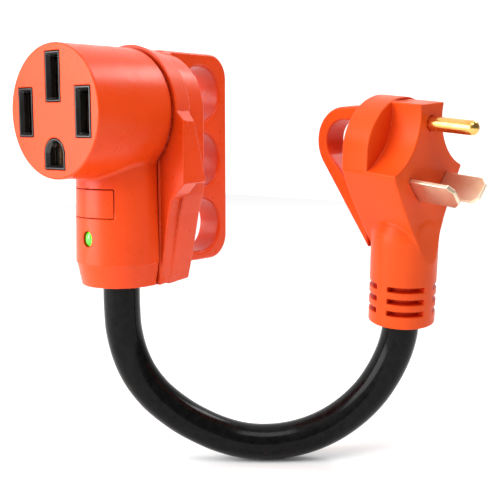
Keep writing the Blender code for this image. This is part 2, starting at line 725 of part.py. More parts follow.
def arch_half(inset, low_z):
    """The right half of the strap's outline: a wedge that widens to the shoulders, then an arch."""
    radius = ARCH_RADIUS - inset
    points = [(wedge_x(low_z) - 1.14 * inset, low_z)]
    points.append((radius, SHOULDER_Z - 0.2 * inset))
    return points + arc(0, ARCH_CENTRE_Z, radius, 0, 90, 13)


def front_pocket_half():
    """The right half of the pocket behind the pin face, which keeps a wall to the hollowed flanks."""
    wall = PLUG_WALL + 0.4 * MM
    low_z = 44 * MM
    points = [(wedge_x(low_z) - 1.14 * wall, low_z), (ARCH_RADIUS - 1.3 * wall, SHOULDER_Z - 0.4 * wall)]
    points += arc(SCALLOP_CENTRE_X, SCALLOP_CENTRE_Z, SCALLOP_RADIUS + PLUG_WALL, 241, 180, 9)
    return points + [(TAB_HALF_WIDTH - PLUG_WALL, TAB_TOP_Z - PLUG_WALL)]


def build_plug_housing(parent):
    """The plug's body: front block with hollowed flanks, strap, wedge and collar. Open behind."""
    housing = plate(
        "plug_housing", parent, mirrored(arch_half(0, WEDGE_TIP_Z)), PLUG_FACE_Y - 5 * MM,
        STRAP_REAR_Y + 1 * MM, "front", "orange_plug",
    )
    side = [
        (COLLAR_RADIUS, WEDGE_TIP_Z - 2 * MM),
        (STRAP_REAR_Y, 52 * MM),
        (STRAP_REAR_Y, 100 * MM),
        (PLUG_FACE_Y, 100 * MM),
        (PLUG_FACE_Y, 47 * MM),
        (-COLLAR_RADIUS + 0.2 * MM, WEDGE_TIP_Z - 2 * MM),
    ]
    change(housing, plate("plug_side_form", parent, side, -40 * MM, 40 * MM, "side"), "INTERSECT")
    scallop_length = STRAP_FRONT_Y - PLUG_FACE_Y + 10 * MM
    for side_sign in (-1, 1):
        start = (side_sign * SCALLOP_CENTRE_X, PLUG_FACE_Y - 10 * MM, SCALLOP_CENTRE_Z)
        name = f"flank_hollow_{side_sign}"
        cut(housing, rod(name, parent, start, scallop_length, SCALLOP_RADIUS, "y", sides=64))
    low = (-TAB_HALF_WIDTH * 2, PLUG_FACE_Y - 10 * MM, TAB_TOP_Z)
    high = (TAB_HALF_WIDTH * 2, STRAP_FRONT_Y, ARCH_CENTRE_Z + 2 * ARCH_RADIUS)
    cut(housing, box("tab_top_cut", parent, low, high))
    join(housing, rod("collar_form", parent, (0, 0, 0), 50 * MM, COLLAR_RADIUS, "z", sides=40))
    top_start = (0, 0, 49 * MM)
    collar_top = rod(
        "collar_top", parent, top_start, 6 * MM, COLLAR_RADIUS - 0.3 * MM, "z", sides=32, end_radius=8 * MM
    )
    join(housing, collar_top)
    pocket = plate(
        "plug_rear_pocket", parent, mirrored(arch_half(PLUG_WALL, 36 * MM)), STRAP_FRONT_Y + PLUG_WALL,
        STRAP_REAR_Y + 5 * MM, "front",
    )
    cut(housing, pocket)
    hollow = plate(
        "plug_front_pocket", parent, mirrored(front_pocket_half()), PLUG_FACE_Y + PLUG_WALL + 1 * MM,
        STRAP_FRONT_Y + PLUG_WALL + 1 * MM, "front",
    )
    cut(housing, hollow)
    cut(housing, rod("collar_bore", parent, (0, 0, -2 * MM), 30 * MM, CABLE_HOLE_RADIUS, "z", sides=24))
    cut(housing, rod("collar_chamber", parent, (0, 0, 26 * MM), 22 * MM, 11 * MM, "z", sides=24))
    pin_start = (0, PLUG_FACE_Y - 5 * MM, GROUND_PIN_Z)
    pin_radius = GROUND_PIN_RADIUS + GAP
    cut(housing, rod("ground_pin_hole", parent, pin_start, 14 * MM, pin_radius, "y", sides=20))
    for side_sign in (-1, 1):
        cut(housing, blade_form(f"blade_hole_{side_sign}", parent, side_sign, GAP, None))
    for row, z in enumerate(GROOVE_ROWS_Z):
        for quarter in range(4):
            cut(housing, groove_form(f"collar_groove_{row}_{quarter}", parent, z, quarter))
    for side_sign in (-1, 1):
        x = side_sign * PLUG_SCREW_X
        boss_start = (x, STRAP_FRONT_Y + 1.7 * MM, PLUG_SCREW_Z)
        boss = rod(f"plug_boss_{side_sign}", parent, boss_start, 8.8 * MM, BOSS_RADIUS, "y", sides=14)
        join(housing, boss)
        hole_start = (x, STRAP_FRONT_Y + 2.4 * MM, PLUG_SCREW_Z)
        hole_name = f"plug_boss_hole_{side_sign}"
        cut(housing, rod(hole_name, parent, hole_start, 20 * MM, SCREW_HOLE_RADIUS, "y", sides=12))
    return housing


def groove_form(name, parent, z, quarter):
    """One groove of the collar's flexible rows, between the ribs on the plug's four sides."""
    middle = 45 + 90 * quarter
    half = math.degrees(GROOVE_HALF_ANGLE)
    outline = arc(0, 0, COLLAR_RADIUS + 2 * MM, middle - half, middle + half, 8)
    outline += arc(0, 0, COLLAR_RADIUS - GROOVE_DEPTH, middle + half, middle - half, 8)
    return plate(name, parent, outline, z - GROOVE_HEIGHT / 2, z + GROOVE_HEIGHT / 2, "plan")


def blade_form(name, parent, side, grow, colour):
    """A flat blade along Y with a chamfered tip, leaning so that its foot is nearer the middle."""
    half = BLADE_WIDTH / 2 + grow
    tip = BLADE_TIP_Y - grow
    root = PIN_ROOT_Y + grow
    outline = [
        (root, -half),
        (root, half),
        (tip + BLADE_CHAMFER, half),
        (tip, half - BLADE_CHAMFER),
        (tip, -half + BLADE_CHAMFER),
        (tip + BLADE_CHAMFER, -half),
    ]
    thick = BLADE_THICKNESS / 2 + grow
    obj = plate(name, parent, outline, -thick, thick, "side", colour)
    lean = Matrix.Rotation(side * (math.radians(90) - BLADE_LEAN), 4, "Y")
    obj.matrix_local = Matrix.Translation((side * BLADE_X, 0, BLADE_Z)) @ lean
    return obj


def ring_outline():
    """The finger ring from the side, as (Y, Z): flat top, round back, and a foot that slopes in."""
    outline = [(15.3 * MM, 30.2 * MM)]
    outline += arc(RING_CENTRE_Y, RING_CENTRE_Z, RING_RADIUS, -39, 86, 12)
    outline += [(STRAP_REAR_Y + GAP, 92.6 * MM), (STRAP_REAR_Y + GAP, 91.4 * MM)]
    outline += [(STRAP_REAR_Y - 1 * MM, 91.4 * MM), (STRAP_REAR_Y - 1 * MM, COVER_LOW_Z + 0.6 * MM)]
    outline += [(STRAP_REAR_Y + GAP, COVER_LOW_Z + 0.6 * MM), (16.9 * MM, 43.6 * MM)]
    return outline


def ring_hole_outline():
    """The finger hole: the ring's outline drawn in by its wall."""
    points = [(22 * MM, 52.4 * MM)]
    points += arc(RING_CENTRE_Y, RING_CENTRE_Z, RING_RADIUS - RING_WALL, -39, 96, 11)
    points += [(24 * MM, 86 * MM), (21.6 * MM, 84.4 * MM), (20.8 * MM, 82 * MM), (20.8 * MM, 54 * MM)]
    return points


def build_plug_cover(parent):
    """The plate that closes the plug's back, with the finger ring standing on it."""
    cover = plate(
        "plug_rear_cover", parent, mirrored(arch_half(PLUG_WALL + GAP, COVER_LOW_Z)),
        STRAP_REAR_Y - 2.8 * MM, STRAP_REAR_Y + 1 * MM, "front", "orange_plug",
    )
    change(cover, bpy.data.objects["plug_side_form"], "INTERSECT")
    half = RING_THICKNESS / 2
    join(cover, plate("ring_form", parent, ring_outline(), -half, half, "side"))
    cut(cover, plate("ring_hole", parent, ring_hole_outline(), -2 * half, 2 * half, "side"))
    for i, side in enumerate((-1, 1)):
        x = side * PLUG_SCREW_X
        hole_start = (x, STRAP_REAR_Y - 8 * MM, PLUG_SCREW_Z)
        cut(cover, rod(f"plug_cover_hole_{i}", parent, hole_start, 20 * MM, SCREW_HOLE_RADIUS, "y", sides=12))
        head_y = STRAP_REAR_Y + GAP + SCREW_HEAD_HEIGHT
        screw(f"plug_cover_screw_{i + 1}", parent, x, PLUG_SCREW_Z, head_y, STRAP_FRONT_Y + 3 * MM)
    return cover


def build_pins(parent):
    """The round ground pin, the two blades, and the insulating bridge that holds their roots."""
    length = PIN_ROOT_Y - GROUND_PIN_TIP_Y
    profile = [
        (0, length),
        (1.3 * MM, length - 0.25 * MM),
        (2.4 * MM, length - 1.2 * MM),
        (GROUND_PIN_RADIUS, length - 3 * MM),
        (GROUND_PIN_RADIUS, 0),
        (0, 0),
    ]
    pin = turned("ground_pin", parent, profile, "brass", sides=20)
    turn = Matrix.Rotation(math.radians(90), 4, "X")
    pin.matrix_local = Matrix.Translation((0, PIN_ROOT_Y, GROUND_PIN_Z)) @ turn
    blade_form("hot_blade", parent, 1, 0, "nickel")
    blade_form("neutral_blade", parent, -1, 0, "nickel")
    foot, neck = 11 * MM, 3.9 * MM
    half = [(foot, 52.6 * MM), (15.6 * MM, 65.4 * MM), (neck, 66.6 * MM), (neck, 91 * MM)]
    near = PLUG_FACE_Y + PLUG_WALL + 1 * MM + GAP
    carrier = plate("blade_carrier", parent, mirrored(half), near, -1.4 * MM, "front", "dark_moulding")
    pin_start = (0, PLUG_FACE_Y, GROUND_PIN_Z)
    pin_radius = GROUND_PIN_RADIUS + GAP
    cut(carrier, rod("carrier_pin_hole", parent, pin_start, 14 * MM, pin_radius, "y", sides=16))
    for side in (-1, 1):
        cut(carrier, blade_form(f"carrier_blade_hole_{side}", parent, side, GAP, None))
    return carrier


# ---------------------------------------------------------------- cable


def local_point(empty, x, y, z):
    """A point given in millimetres in a connector's frame, in the loop frame."""
    return empty.matrix_basis @ (Vector((x, y, z)) * MM)


def cable_line(socket, plug):
    """The cable's centreline, from its end in the socket's neck to its end in the plug's collar."""
    socket_end = CABLE_END_IN_SOCKET / MM
    plug_end = CABLE_END_IN_PLUG / MM
    points = [local_point(socket, 0, 0, socket_end * share) for share in (1, 0.67, 0.33, 0)]
    points += CABLE_ROUTE
    points += [local_point(plug, 0, 0, plug_end * share) for share in (0, 0.33, 0.67, 1)]
    return smooth_line(points, CABLE_SAMPLE)


def build_jacket(line, parent):
    """The jacket: a hose whose bore holds the three cores."""
    jacket = tube_mesh("cable_jacket", parent, line, CABLE_RADIUS, "black_jacket")
    first = line[0] + (line[0] - line[1]).normalized() * MM
    last = line[-1] + (line[-1] - line[-2]).normalized() * MM
    bore = tube_mesh("jacket_bore", parent, [first] + line[1:-1] + [last], CABLE_BORE_RADIUS, None)
    return cut(jacket, bore)


def build_ferrule(parent):
    """The ring crimped on the jacket inside the plug, which stops the cable from pulling out."""
    start = (0, 0, 28 * MM)
    ferrule = rod("jacket_ferrule", parent, start, 7 * MM, 10.4 * MM, "z", "steel", 24)
    bore_start = (0, 0, 27 * MM)
    return cut(ferrule, rod("ferrule_bore", parent, bore_start, 9 * MM, CABLE_HOLE_RADIUS, "z", sides=24))


def core_line(line, turn):
    """The centreline of one core: the cable's, moved aside by the core's place in the section."""
    across = Vector((0, 1, 0))
    points = []
    for i, p in enumerate(line):
        along = (line[min(i + 1, len(line) - 1)] - line[max(i - 1, 0)]).normalized()
        side = along.cross(across).normalized()
        up = side.cross(along)
        points.append(p + CORE_OFFSET * (math.cos(turn) * side + math.sin(turn) * up))
    return points


# Each core: its colour, its place in the section, and its routes inside the socket connector (from
# its sleeve to the jacket) and inside the plug (from the jacket to its sleeve), in millimetres
CORES = {
    "hot": (
        "black_core",
        90,
        [(0, -5.4, 76.8), (0, -2.6, 76.8), (0, 0.4, 76.8), (-1.8, 4, 75.2), (-5, 6, 70),
         (-7, 6.2, 61), (-6.5, 5, 48),
         (-4.2, 3.6, 36), (-2.6, 2.8, 28)],
        [(2.9, 3.2, 43), (5, 6.5, 47.5), (7.4, 9.6, 53), (8.6, 10.2, 57.6), (8.8, 6.5, 60.6), (8.8, 3, 60.6),
         (8.8, 0, 60.6)],
    ),
    "neutral": (
        "white_core",
        330,
        [(0, -7.2, 90.8), (0, -3.5, 90.8), (0, 0.5, 90.8), (2.2, 5, 88.4), (5.4, 8.5, 81), (7, 9, 70),
         (6.6, 7.4, 55), (5.4, 4.5, 40), (3.8, 1.6, 28)],
        [(-3.6, 2, 43), (-5, 5.5, 47.5), (-7.4, 9.4, 53), (-8.6, 10.2, 57.6), (-8.8, 6.5, 60.6),
         (-8.8, 3, 60.6),
         (-8.8, 0, 60.6)],
    ),
    "ground": (
        "green_core",
        210,
        [(0, -7.2, 60.2), (0, -4, 60.2), (0, -0.8, 60.2), (0, 2.2, 58.2), (0, 2.4, 53),
         (0, 1, 46), (-0.6, -1.2, 37),
         (-1, -2.7, 28)],
        [(0.6, -1.4, 44), (0.2, 2, 49), (0, 6.4, 55), (0, 9.6, 65), (0, 10.6, 76), (0, 10.2, 83.5),
         (0, 6.8, 87), (0, 3, 87.1), (0, 0, 87.1)],
    ),
}


def build_cores(line, parent, socket, plug):
    """Each core runs from a socket contact, through the jacket, to the back of a pin or blade."""
    for name, (colour, degrees, socket_end, plug_end) in CORES.items():
        middle = core_line(line, math.radians(degrees))
        start = [local_point(socket, *point) for point in socket_end]
        start = smooth_line(start + middle[:2], CORE_SAMPLE)[:-1]
        end = [local_point(plug, *point) for point in plug_end]
        end = smooth_line(middle[-2:] + end, CORE_SAMPLE)[1:]
        tube(name + "_core", parent, start + middle[1:-1] + end, CORE_RADIUS, colour)


def build_sleeves(socket, plug):
    """The crimp sleeves at both ends of every core."""
    sleeve("neutral_tail_sleeve", socket, 0, TAIL_REAR_Y + GAP, SLOTS["neutral"][1])
    sleeve("hot_strap_sleeve", socket, 0, TAIL_REAR_Y + 2 * GAP + STRAP_THICKNESS, SLOTS["hot_x"][1])
    sleeve("ground_tail_sleeve", socket, 0, TAIL_REAR_Y + GAP, GROUND_SLOT_Z)
    root_y = PIN_ROOT_Y + GAP
    sleeve("hot_blade_sleeve", plug, BLADE_X, root_y, BLADE_Z)
    sleeve("neutral_blade_sleeve", plug, -BLADE_X, root_y, BLADE_Z)
    sleeve("ground_pin_sleeve", plug, 0, root_y, GROUND_PIN_Z)


def plug_foot():
    """Where the foot of the plug's collar stands, so that the centre of its pin face is the origin."""
    turn = Matrix.Rotation(PLUG_LEAN, 3, "X") @ Matrix.Rotation(PLUG_TURN, 3, "Z")
    return -(turn @ Vector((0, PLUG_FACE_Y, PLUG_ORIGIN_Z)))


clear_scene()
PARTS = new_collection("power_adapter_dogbone")
CUTTERS = new_collection("cutters")

loop_frame = frame_empty("loop_frame", None, (0, 0, 0), LOOP_TURN)
socket_frame = frame_empty("socket_frame", loop_frame, SOCKET_FOOT, -LOOP_TURN)
plug_frame = frame_empty("plug_frame", loop_frame, plug_foot(), PLUG_TURN, PLUG_LEAN)

build_front_housing(socket_frame)
build_rear_cover(socket_frame)
panel_piece("neck_panel", socket_frame, GAP, "orange")
contact_sizes = build_contacts(socket_frame)
build_bridge(socket_frame, contact_sizes)
build_indicator(socket_frame)
build_clamp("neck_cord_clamp", socket_frame, CLAMP_Z, 0.0, CLAMP_SCREW_X, -7 * MM)

build_plug_housing(plug_frame)
build_plug_cover(plug_frame)
build_pins(plug_frame)
build_ferrule(plug_frame)

cable = cable_line(socket_frame, plug_frame)
build_jacket(cable, loop_frame)
build_cores(cable, loop_frame, socket_frame, plug_frame)
build_sleeves(socket_frame, plug_frame)
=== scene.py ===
"""Looks of the dogbone power adapter: moulded orange connectors, a glossy black cable, metal pins.

The moulded shells are built from distance fields, in millimetres in each connector's own frame: -Y is
its front, X is across it and Z is up its cable axis. A field is negative inside the piece.
"""
import json
import math

import bmesh
import bpy
import numpy as np
from mathutils import Matrix, Vector


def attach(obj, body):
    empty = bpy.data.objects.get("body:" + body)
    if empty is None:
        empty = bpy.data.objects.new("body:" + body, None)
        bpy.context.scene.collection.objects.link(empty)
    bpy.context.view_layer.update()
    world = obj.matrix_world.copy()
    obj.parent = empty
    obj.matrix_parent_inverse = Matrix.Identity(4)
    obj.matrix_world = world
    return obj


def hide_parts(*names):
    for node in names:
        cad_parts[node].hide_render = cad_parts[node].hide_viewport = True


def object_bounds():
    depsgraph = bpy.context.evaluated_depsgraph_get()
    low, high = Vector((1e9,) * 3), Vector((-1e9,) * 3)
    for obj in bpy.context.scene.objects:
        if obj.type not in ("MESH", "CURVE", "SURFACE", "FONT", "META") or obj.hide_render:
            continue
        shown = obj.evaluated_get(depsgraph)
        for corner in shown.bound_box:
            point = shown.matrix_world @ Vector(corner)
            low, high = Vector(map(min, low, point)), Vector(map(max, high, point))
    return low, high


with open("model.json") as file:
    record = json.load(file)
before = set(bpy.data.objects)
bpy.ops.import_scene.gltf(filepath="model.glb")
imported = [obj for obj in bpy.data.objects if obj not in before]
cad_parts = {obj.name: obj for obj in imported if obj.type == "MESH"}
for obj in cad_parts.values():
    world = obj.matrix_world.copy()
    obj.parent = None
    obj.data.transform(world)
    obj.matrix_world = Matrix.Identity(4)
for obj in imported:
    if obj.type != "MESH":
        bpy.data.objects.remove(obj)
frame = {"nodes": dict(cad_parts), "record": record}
CAD_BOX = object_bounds()

MM = 0.001
BODY = "root"

# ---------------------------------------------------------------- places, as in the CAD model

LOOP_TURN = math.radians(39.3)
LOOP = Matrix.Rotation(LOOP_TURN, 4, "Z")
SOCKET = LOOP @ Matrix.Translation(Vector((-130.3, 17.5, -59.4)) * MM) @ Matrix.Rotation(-LOOP_TURN, 4, "Z")
PLUG_LEAN = Matrix.Rotation(math.radians(7.3), 4, "X") @ Matrix.Rotation(math.radians(42.1), 4, "Z")
PLUG = LOOP @ Matrix.Translation(-(PLUG_LEAN @ (Vector((0, -11, 74)) * MM))) @ PLUG_LEAN

CABLE_RADIUS = 8 * MM
CABLE_END_IN_SOCKET = 21
CABLE_END_IN_PLUG = 38
# The cable's route in the loop frame, in millimetres, from the socket's foot to the plug's
CABLE_ROUTE = [
    (-130.2, 17.5, -67.6),
    (-129.6, 17.8, -77.4),
    (-127.1, 18.3, -88.4),
    (-122.6, 18.9, -98.6),
    (-115.5, 19.5, -108.0),
    (-105.6, 20.1, -116.4),
    (-96.4, 20.5, -122.0),
    (-87.1, 20.8, -126.2),
    (-77.6, 21.0, -128.9),
    (-67.6, 21.1, -129.8),
    (-57.2, 21.1, -128.9),
    (-46.8, 21.0, -126.1),
    (-36.9, 20.9, -121.4),
    (-27.9, 20.7, -114.8),
    (-20.3, 20.5, -106.9),
    (-14.7, 20.1, -98.3),
    (-10.7, 19.4, -89.6),
    (-8.3, 18.6, -81.2),
]

# ---------------------------------------------------------------- materials


class Shader:
    """A material's node tree, with short names for the nodes that the materials here use."""

    def __init__(self, name, colour, roughness, metallic=0.0):
        self.material = bpy.data.materials.new(name)
        self.material.use_nodes = True
        self.nodes = self.material.node_tree.nodes
        self.links = self.material.node_tree.links
        self.surface = self.nodes["Principled BSDF"]
        self.surface.inputs["Base Color"].default_value = (*colour, 1)
        self.surface.inputs["Roughness"].default_value = roughness
        self.surface.inputs["Metallic"].default_value = metallic
        self.place = self.nodes.new("ShaderNodeTexCoord").outputs["Object"]

    def noise(self, scale, detail=3.0, stretch=None):
        """Noise with about scale features per metre, stretched along the axes on request."""
        place = self.place
        if stretch:
            mapping = self.nodes.new("ShaderNodeMapping")
            mapping.inputs["Scale"].default_value = stretch
            self.links.new(place, mapping.inputs["Vector"])
            place = mapping.outputs["Vector"]
        node = self.nodes.new("ShaderNodeTexNoise")
        node.inputs["Scale"].default_value = scale
        node.inputs["Detail"].default_value = detail
        self.links.new(place, node.inputs["Vector"])
        return node.outputs["Fac"]

    def ramp(self, source, low, high):
        """Map source, from 0.3 to 0.7, onto low to high."""
        node = self.nodes.new("ShaderNodeMapRange")
        node.inputs["From Min"].default_value = 0.3
        node.inputs["From Max"].default_value = 0.7
        node.inputs["To Min"].default_value = low
        node.inputs["To Max"].default_value = high
        self.links.new(source, node.inputs["Value"])
        return node.outputs["Result"]

    def roughness(self, source, low, high):
        self.links.new(self.ramp(source, low, high), self.surface.inputs["Roughness"])

    def colour(self, source, dark, light):
        mix = self.nodes.new("ShaderNodeMix")
        mix.data_type = "RGBA"
        mix.inputs[6].default_value = (*dark, 1)
        mix.inputs[7].default_value = (*light, 1)
        self.links.new(self.ramp(source, 0, 1), mix.inputs[0])
        self.links.new(mix.outputs[2], self.surface.inputs["Base Color"])

    def paint_cavity_shade(self, hollow, reach):
        """Paint shade into the colour: turn it to the darker hollow one where ambient occlusion finds the
        surface closed in on itself.
        """
        clouds = self.surface.inputs["Base Color"].links[0].from_socket
        # The occlusion mask: where it is low, the colour takes the painted shade.
        openness = self.nodes.new("ShaderNodeAmbientOcclusion")
        openness.samples = 12
        openness.inputs["Distance"].default_value = reach
        mix = self.nodes.new("ShaderNodeMix")
        mix.data_type = "RGBA"
        mix.inputs[6].default_value = (*hollow, 1)
        self.links.new(clouds, mix.inputs[7])
        share = self.nodes.new("ShaderNodeMapRange")
        share.inputs["From Min"].default_value = 0.3
        share.inputs["From Max"].default_value = 0.85
        self.links.new(openness.outputs["AO"], share.inputs["Value"])
        self.links.new(share.outputs["Result"], mix.inputs[0])
        self.links.new(mix.outputs[2], self.surface.inputs["Base Color"])

    def bumps(self, *layers):
        """Stack bump layers, each a source with its strength and depth in metres."""
        normal = None
        for source, strength, depth in layers:
            bump = self.nodes.new("ShaderNodeBump")
            bump.inputs["Strength"].default_value = strength
            bump.inputs["Distance"].default_value = depth
            self.links.new(source, bump.inputs["Height"])
            if normal:
                self.links.new(normal, bump.inputs["Normal"])
            normal = bump.outputs["Normal"]
        self.links.new(normal, self.surface.inputs["Normal"])


def moulded(name, dark, light, rough_low, rough_high, grain=0.12, gloss=0.16, hollow=None):
    """Moulded plastic: faint flow clouds, a fine grain, slightly uneven gloss, and painted shade that
    darkens the colour in hollows and creases.
    """
    shader = Shader(name, light, rough_low)
    shader.colour(shader.noise(45, 4), dark, light)
    # Painted shade: the colour turns to the darker hollow colour in hollows, grooves and creases.
    if hollow:
        shader.paint_cavity_shade(hollow, 0.032)
    shader.roughness(shader.noise(160, 3), rough_low, rough_high)
    shader.bumps((shader.noise(60, 2), 0.12, 0.00006), (shader.noise(2600, 2), grain, 0.00004))
    shader.surface.inputs["Specular IOR Level"].default_value = gloss
    return shader.material


def metal(name, dark, light, rough_low, rough_high, stretch):
    """Drawn or stamped metal, with fine marks along the way it was worked."""
    shader = Shader(name, light, rough_low, 1.0)
    shader.colour(shader.noise(220, 3), dark, light)
    marks = shader.noise(900, 4, stretch)
    shader.roughness(marks, rough_low, rough_high)
    shader.bumps((marks, 0.06, 0.00003))
    return shader.material


def cable_rubber():
    """The jacket: glossy black, with faint marks from its extrusion and handling."""
    shader = Shader("cable_rubber", (0.006, 0.006, 0.007), 0.2)
    shader.colour(shader.noise(300, 4), (0.002, 0.002, 0.002), (0.006, 0.006, 0.006))
    shader.roughness(shader.noise(420, 5), 0.1, 0.22)
    shader.bumps((shader.noise(130, 3), 0.25, 0.00012), (shader.noise(1800, 2), 0.08, 0.00003))
    shader.surface.inputs["Specular IOR Level"].default_value = 0.11
    return shader.material


def glowing_lens():
    """Clear green plastic, lit from behind."""
    shader = Shader("glowing_lens", (0.05, 0.75, 0.03), 0.12)
    shader.bumps((shader.noise(900, 2), 0.1, 0.00004))
    shader.surface.inputs["Emission Color"].default_value = (0.10, 1.0, 0.03, 1)
    shader.surface.inputs["Emission Strength"].default_value = 0.75
    shader.surface.inputs["Coat Weight"].default_value = 0.6
    return shader.material


MATERIALS = {
    # The hollow colours are painted shade, which darkens the orange mouldings in hollows, grooves and
    # creases.
    "socket_shell": moulded("orange_moulding", (0.76, 0.056, 0.0035), (0.83, 0.064, 0.0045), 0.26, 0.35,
                            gloss=0.26, hollow=(0.36, 0.008, 0.0015)),
    "plug_shell": moulded("orange_plug_moulding", (0.66, 0.064, 0.0055), (0.72, 0.072, 0.007), 0.30, 0.40,
                          hollow=(0.60, 0.026, 0.003)),
    "cable_jacket": cable_rubber(),
    "core_black": moulded("black_insulation", (0.008, 0.008, 0.008), (0.015, 0.015, 0.015), 0.45, 0.6),
    "core_white": moulded("white_insulation", (0.72, 0.71, 0.68), (0.8, 0.79, 0.77), 0.45, 0.6),
    "core_green": moulded("green_insulation", (0.012, 0.24, 0.035), (0.02, 0.32, 0.05), 0.45, 0.6),
    "insulator": moulded("black_moulding", (0.006, 0.005, 0.005), (0.011, 0.01, 0.01), 0.16, 0.24,
                         grain=0.06, gloss=0.6),
    "pin_brass": metal("pin_brass", (0.74, 0.40, 0.10), (0.86, 0.52, 0.17), 0.14, 0.26, (1, 8, 8)),
    "contact_nickel": metal("contact_nickel", (0.78, 0.60, 0.42), (0.88, 0.72, 0.54), 0.26, 0.42, (1, 8, 8)),
    "fastener_steel": metal("zinc_plated_steel", (0.42, 0.42, 0.43), (0.58, 0.57, 0.55), 0.25, 0.42,
                            (1, 1, 1)),
    "indicator_green": glowing_lens(),
    "board": moulded("board_lacquer", (0.01, 0.12, 0.04), (0.02, 0.18, 0.06), 0.3, 0.45),
    "resistor": moulded("resistor_lacquer", (0.52, 0.38, 0.22), (0.64, 0.48, 0.3), 0.3, 0.45),
}

# ---------------------------------------------------------------- distance fields


def merge(a, b, fillet=0.0):
    """Both shapes as one, with a round fillet where they meet."""
    if not fillet:
        return np.minimum(a, b)
    u = np.maximum(fillet - a, 0)
    v = np.maximum(fillet - b, 0)
    return np.maximum(fillet, np.minimum(a, b)) - np.hypot(u, v)


def common(a, b, edge=0.0):
    """What the shapes share, with the edge between them rounded."""
    if not edge:
        return np.maximum(a, b)
    u = np.maximum(edge + a, 0)
    v = np.maximum(edge + b, 0)
    return np.minimum(-edge, np.maximum(a, b)) + np.hypot(u, v)


def carve(a, b, edge=0.0):
    """The first shape without the second, with the new rim rounded."""
    return common(a, -b, edge)


def slab(t, low, high):
    return np.maximum(low - t, t - high)


def rectangle(u, v, half_u, half_v, corner=0.0):
    """Distance to a rectangle about the origin, with rounded corners."""
    a = np.abs(u) - half_u + corner
    b = np.abs(v) - half_v + corner
    return np.minimum(np.maximum(a, b), 0) + np.hypot(np.maximum(a, 0), np.maximum(b, 0)) - corner


def polygon(u, v, outline):
    """Distance to a closed outline, negative inside."""
    nearest = np.full_like(u, 1e9)
    inside = np.zeros(u.shape, bool)
    for (au, av), (bu, bv) in zip(outline, outline[1:] + outline[:1]):
        eu, ev = bu - au, bv - av
        wu, wv = u - au, v - av
        t = np.clip((wu * eu + wv * ev) / (eu * eu + ev * ev), 0, 1)
        nearest = np.minimum(nearest, (wu - eu * t) ** 2 + (wv - ev * t) ** 2)
        if ev:
            inside ^= ((av > v) != (bv > v)) & (wu < eu * wv / ev)
    return np.where(inside, -1, 1) * np.sqrt(nearest)


def rod_y(x, y, z, cx, cz, radius, y0, y1, edge=0.0):
    """A cylinder along Y."""
    return common(np.hypot(x - cx, z - cz) - radius, slab(y, y0, y1), edge)


BLOCK = 4  # cells along a block's side, in the two-step search for the surface


def field_values(field, low, step, blocks):
    """The field on a lattice, exact near its surface and only right in sign elsewhere."""
    size = step * BLOCK
    axes = [a + size * (np.arange(n, dtype=np.float32) + 0.5) for a, n in zip(low, blocks)]
    centres = field(*np.meshgrid(*axes, indexing="ij"))
    values = centres.repeat(BLOCK, 0).repeat(BLOCK, 1).repeat(BLOCK, 2)
    values = np.pad(values, ((0, 1),) * 3, mode="edge")
    near = np.argwhere(np.abs(centres) < 1.25 * size)
    offsets = np.indices((BLOCK + 1,) * 3).reshape(3, -1).T
    index = (near[:, None, :] * BLOCK + offsets[None]).reshape(-1, 3)
    flat = np.unique(np.ravel_multi_index(index.T, values.shape))
    index = np.array(np.unravel_index(flat, values.shape))
    points = [a + step * i.astype(np.float32) for a, i in zip(low, index)]
    values.ravel()[flat] = field(*points)
    return values


def surface_net(values):
    """One vertex in each lattice cell that the surface crosses, and a quad across each crossed edge."""
    inside = values < 0
    count = np.zeros(tuple(n - 1 for n in values.shape), np.int8)
    corners = [(i, j, k) for i in (0, 1) for j in (0, 1) for k in (0, 1)]
    for i, j, k in corners:
        count += inside[i : i + count.shape[0], j : j + count.shape[1], k : k + count.shape[2]]
    cells = np.argwhere((count > 0) & (count < 8))
    number = np.full(count.shape, -1, np.int64)
    number[tuple(cells.T)] = np.arange(len(cells))
    total = np.zeros((len(cells), 3))
    crossings = np.zeros(len(cells))
    for axis in range(3):
        step = np.eye(3, dtype=int)[axis]
        for corner in corners:
            if corner[axis]:
                continue
            start = cells + corner
            a = values[tuple(start.T)]
            b = values[tuple((start + step).T)]
            crossed = (a < 0) != (b < 0)
            t = np.where(crossed, a / np.where(crossed, a - b, 1), 0)
            total += crossed[:, None] * (start + t[:, None] * step)
            crossings += crossed
    faces = []
    for axis in range(3):
        one = np.eye(3, dtype=int)
        ahead = np.roll(inside, -1, axis)
        changes = np.argwhere(inside != ahead)
        limit = np.array(count.shape)
        changes = changes[(changes[:, axis] < limit[axis])]
        u, v = one[(axis + 1) % 3], one[(axis + 2) % 3]
        ring = [number[tuple((changes - a * u - b * v).T)] for a, b in ((1, 1), (0, 1), (0, 0), (1, 0))]
        quads = np.array(ring).T
        out = inside[tuple(changes.T)]
        quads[~out] = quads[~out][:, ::-1]
        faces.append(quads)
    return total / crossings[:, None], np.concatenate(faces)


def gradient(field, points, reach=0.04):
    """The field at the points, and its slope there."""
    x, y, z = points.T
    here = field(x, y, z)
    slope = [
        field(x + a, y + b, z + c) - field(x - a, y - b, z - c)
        for a, b, c in ((reach, 0, 0), (0, reach, 0), (0, 0, reach))
    ]
    return here, np.array(slope).T / (2 * reach)


